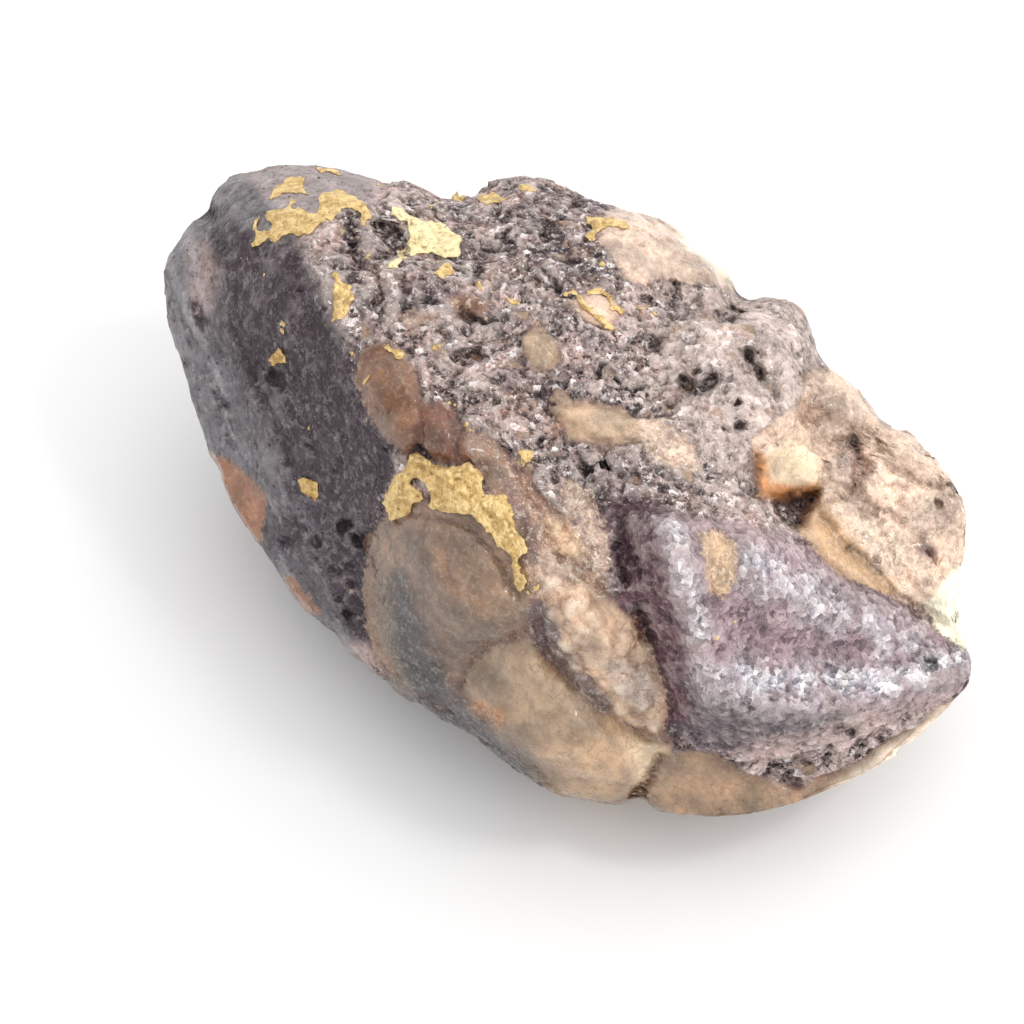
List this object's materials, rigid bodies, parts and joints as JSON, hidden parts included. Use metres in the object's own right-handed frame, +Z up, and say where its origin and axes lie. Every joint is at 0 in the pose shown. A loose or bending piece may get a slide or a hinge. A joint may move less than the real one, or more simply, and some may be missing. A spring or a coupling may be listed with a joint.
{
  "type": "gold in rock specimen",
  "caption": "Waterworn lump of dark porous ironstone and tan quartz with a leaf and flakes of native gold standing on its upper faces.",
  "frame": {"origin": "middle of the bounding box, at the level of the flat base", "axes": "+Z up, +X along the longest side, towards the pointed snout; the gold lies on the upper and the -Y faces"},
  "size_m": [0.051, 0.0292, 0.024],
  "materials": {
    "rock": "rough, half matt ironstone with waxy tan quartz",
    "native_gold": null
  },
  "bodies": {
    "root": {"rock": "rock", "gold_big_leaf": "native_gold", "gold_crown_upper_flake": "native_gold", "gold_crown_lower_flake": "native_gold", "gold_crown_middle_flake": "native_gold", "gold_crown_rim_flake": "native_gold", "gold_right_crown_flake": "native_gold", "gold_right_crown_chip": "native_gold", "gold_upright_flake": "native_gold", "gold_triangle_fleck": "native_gold", "gold_left_fleck": "native_gold", "gold_quartz_fleck": "native_gold", "gold_quartz_chip": "native_gold", "gold_saddle_fleck": "native_gold", "gold_far_right_flake": "native_gold", "gold_lens_ridge": "native_gold", "gold_lens_cap": "native_gold", "gold_middle_fleck": "native_gold", "gold_middle_sliver": "native_gold", "gold_step_fleck": "native_gold"}
  },
  "joints": []
}
